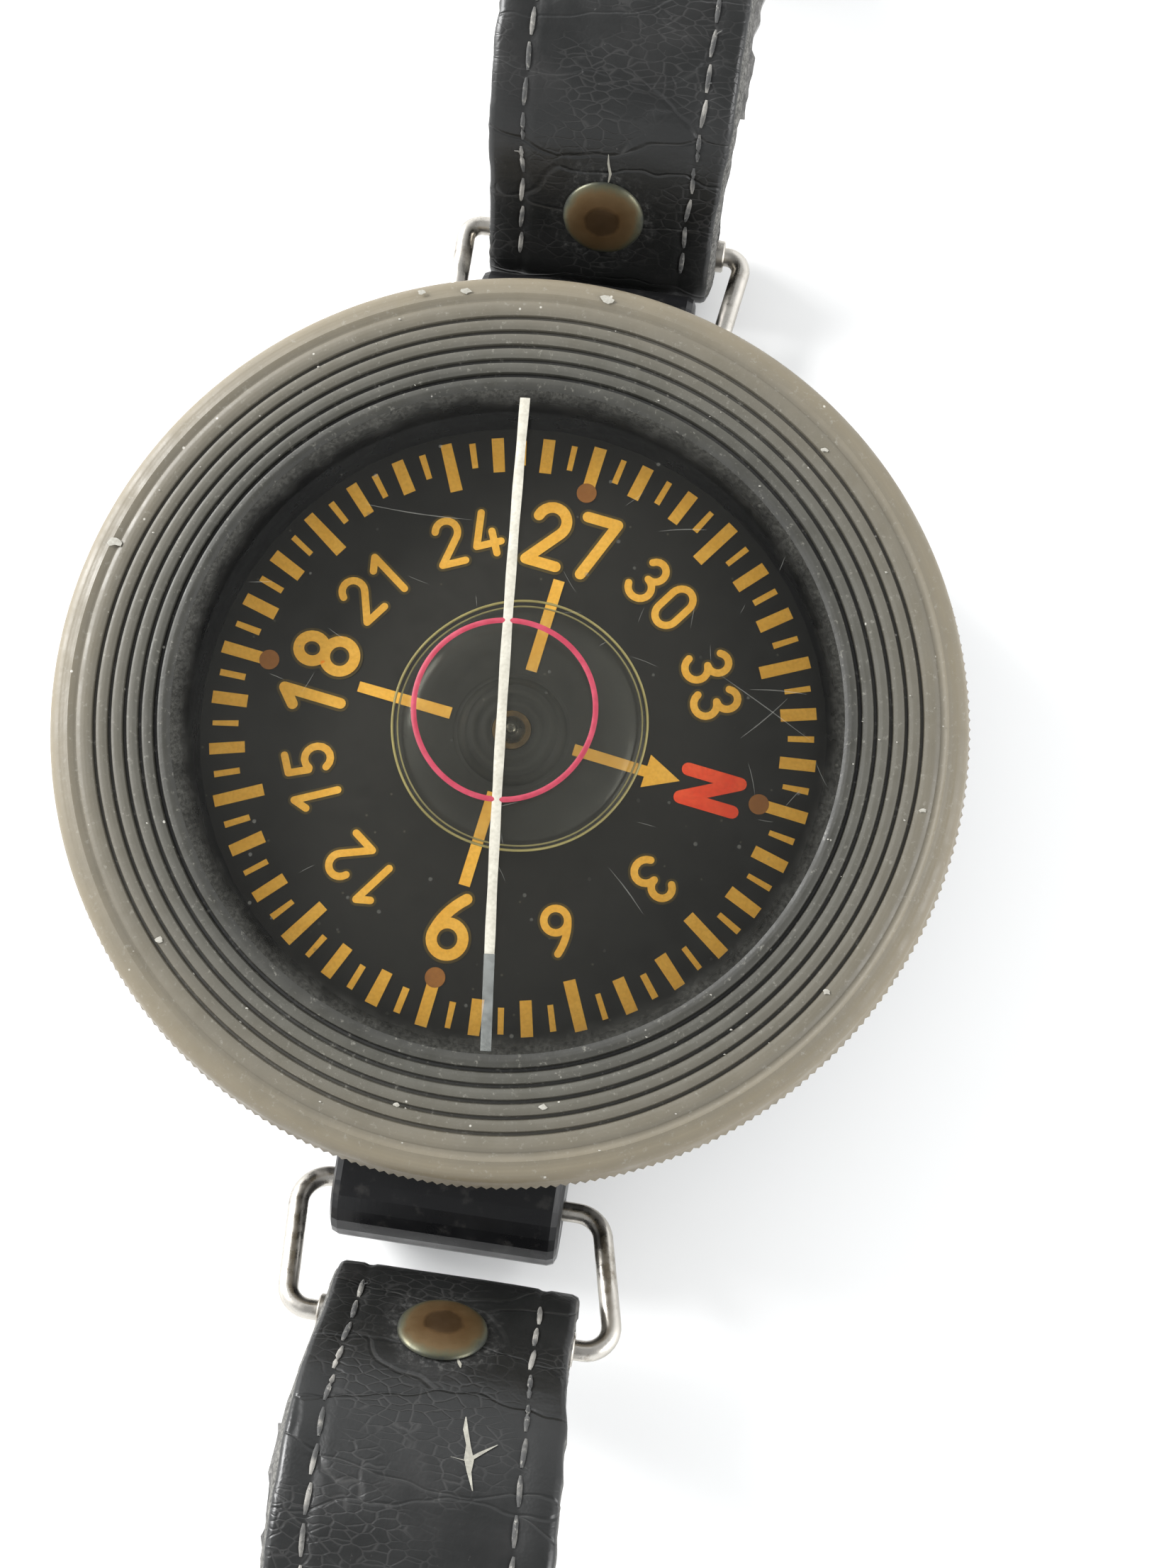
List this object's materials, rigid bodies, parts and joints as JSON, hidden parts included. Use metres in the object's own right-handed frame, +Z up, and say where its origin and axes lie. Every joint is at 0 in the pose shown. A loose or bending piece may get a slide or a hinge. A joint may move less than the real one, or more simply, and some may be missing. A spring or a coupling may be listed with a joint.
{
  "type": "wrist compass",
  "caption": "Liquid-filled wrist compass: domed turning capsule over a pivoted card, moulded base with wire rings, two-piece leather strap with a pin buckle",
  "frame": {"origin": "middle of the back plate's outer face, on the surface that the compass lies on", "axes": "+Z up the compass axis, out of the window; +Y along the strap towards the buckle; +X to the right of the strap"},
  "size_m": [0.06, 0.2699, 0.0232],
  "materials": {
    "smoked_acrylic": "clear moulded acrylic, scratched, with a knurled edge",
    "dark_bakelite": "moulded phenolic, worn satin",
    "black_rubber": "flat gasket",
    "brass": "tarnished brass",
    "white_paint": "painted line",
    "red_paint": "painted line",
    "polished_steel": "steel wire and turned steel, lightly stained",
    "black_card": "black painted card with orange figures",
    "sapphire": "polished jewel",
    "magnet_steel": "ground magnet steel",
    "grey_aluminium": "turned, dull",
    "black_leather": "creased glossy black leather, stitched",
    "grey_suede": "rough cut grey flesh side"
  },
  "bodies": {
    "base": {"base_body": "dark_bakelite", "back_plate": "grey_aluminium", "back_screw_1": "polished_steel", "back_screw_2": "polished_steel", "back_screw_3": "polished_steel", "back_screw_4": "polished_steel", "wave_spring": "polished_steel"},
    "capsule": {"capsule_housing": "smoked_acrylic", "capsule_cup": "dark_bakelite", "capsule_gasket": "black_rubber", "filler_plug": "brass", "filler_washer": "black_rubber", "lubber_line": "white_paint", "level_ring": "red_paint", "pivot_post": "brass", "pivot_needle": "polished_steel", "retaining_ring": "brass"},
    "card": {"compass_card": "black_card", "card_bush": "brass", "jewel_cup": "sapphire", "magnet_carrier": "brass", "magnet_left": "magnet_steel", "magnet_right": "magnet_steel"},
    "buckle_side_ring": {"wire_ring_buckle": "polished_steel"},
    "buckle_side_strap": {"strap_buckle": "black_leather", "strap_lining_buckle": "grey_suede", "ring_sleeve_buckle": "polished_steel", "rivet_cap_buckle": "brass", "rivet_foot_buckle": "brass", "fixed_keeper": "black_leather"},
    "holes_side_ring": {"wire_ring_holes": "polished_steel"},
    "holes_side_strap": {"strap_holes": "black_leather", "strap_lining_holes": "grey_suede", "ring_sleeve_holes": "polished_steel", "rivet_cap_holes": "brass", "rivet_foot_holes": "brass"},
    "keeper_slider": {"sliding_keeper": "black_leather"},
    "buckle": {"buckle_frame": "polished_steel"},
    "prong": {"buckle_prong": "polished_steel"}
  },
  "joints": [
    {"name": "capsule_turn", "type": "hinge", "parent": "base", "child": "capsule", "pos_m": [0, 0, 0.0055], "axis": [0, 0, 1], "continuous": true},
    {"name": "card_turn", "type": "hinge", "parent": "capsule", "child": "card", "pos_m": [0, 0, 0.0115], "axis": [0, 0, 1], "continuous": true},
    {"name": "buckle_ring_swing", "type": "hinge", "parent": "base", "child": "buckle_side_ring", "pos_m": [0, 0.0311, 0.0044], "axis": [1, 0, 0], "range_deg": [-55, 45]},
    {"name": "buckle_strap_swing", "type": "hinge", "parent": "buckle_side_ring", "child": "buckle_side_strap", "pos_m": [0.0005, 0.03886, 0.00359], "axis": [1, 0, 0], "range_deg": [-45, 12]},
    {"name": "holes_ring_swing", "type": "hinge", "parent": "base", "child": "holes_side_ring", "pos_m": [0, -0.0311, 0.0044], "axis": [-1, 0, 0], "range_deg": [-80, 22]},
    {"name": "holes_strap_swing", "type": "hinge", "parent": "holes_side_ring", "child": "holes_side_strap", "pos_m": [0.0016, -0.03965, 0.00876], "axis": [-1, 0, 0], "range_deg": [-30, 15]},
    {"name": "keeper_slide", "type": "slide", "parent": "buckle_side_strap", "child": "keeper_slider", "axis": [0, 1, 0], "range_m": [-0.009, 0.0075]},
    {"name": "buckle_swing", "type": "hinge", "parent": "buckle_side_strap", "child": "buckle", "pos_m": [0.0005, 0.1074, 0.00315], "axis": [1, 0, 0], "range_deg": [-90, 30]},
    {"name": "prong_swing", "type": "hinge", "parent": "buckle", "child": "prong", "pos_m": [0.0005, 0.1074, 0.00315], "axis": [1, 0, 0], "range_deg": [0, 75]}
  ]
}
